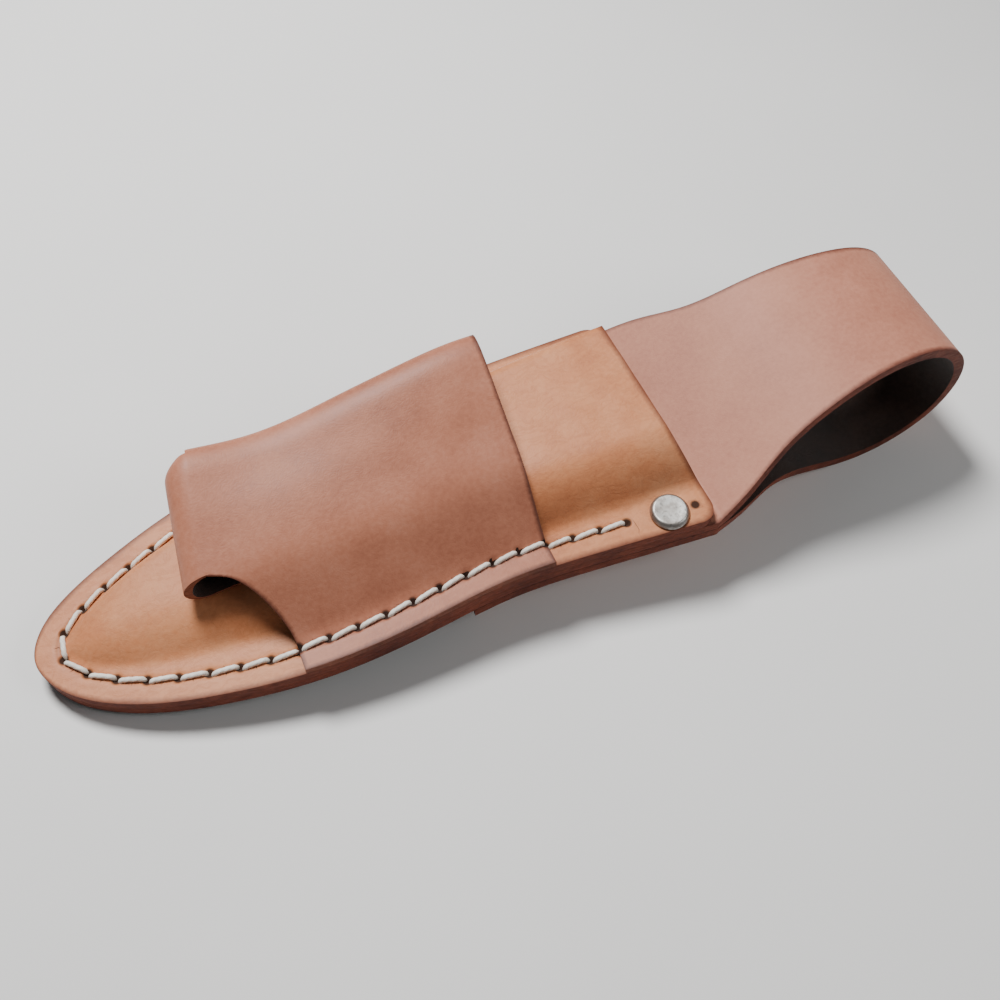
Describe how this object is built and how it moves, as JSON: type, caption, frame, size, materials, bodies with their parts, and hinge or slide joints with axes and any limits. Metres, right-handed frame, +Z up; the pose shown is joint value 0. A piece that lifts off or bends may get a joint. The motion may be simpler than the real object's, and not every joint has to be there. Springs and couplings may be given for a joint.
{
  "type": "leather tool sheath",
  "caption": "Moulded leather sheath with a rounded toe, a second pocket folded and sewn over the first, a rivet at the mouth and a neck folded back into a belt loop.",
  "frame": {"origin": "on the surface that the sheath lies on, under the middle of its box", "axes": "+X from the toe to the belt loop, +Y to the long edge away from the rivet, +Z up, away from the back panel"},
  "size_m": [0.242, 0.0656, 0.0442],
  "materials": {
    "smooth_leather": "smooth vegetable-tanned grain side, light waxed sheen",
    "moulded_leather": "wet-moulded vegetable-tanned leather, fine wrinkled grain, satin",
    "pocket_leather": "smooth vegetable-tanned leather, soft sheen",
    "thread": "waxed off-white twisted thread",
    "rivet": "dull nickel-plated, slightly mottled"
  },
  "bodies": {
    "root": {"back_panel": "smooth_leather", "front_pocket": "moulded_leather", "overlay_pocket": "pocket_leather", "upper_thread": "thread", "lower_thread": "thread", "rivet_cap": "rivet", "rivet_post": "rivet"}
  },
  "joints": []
}
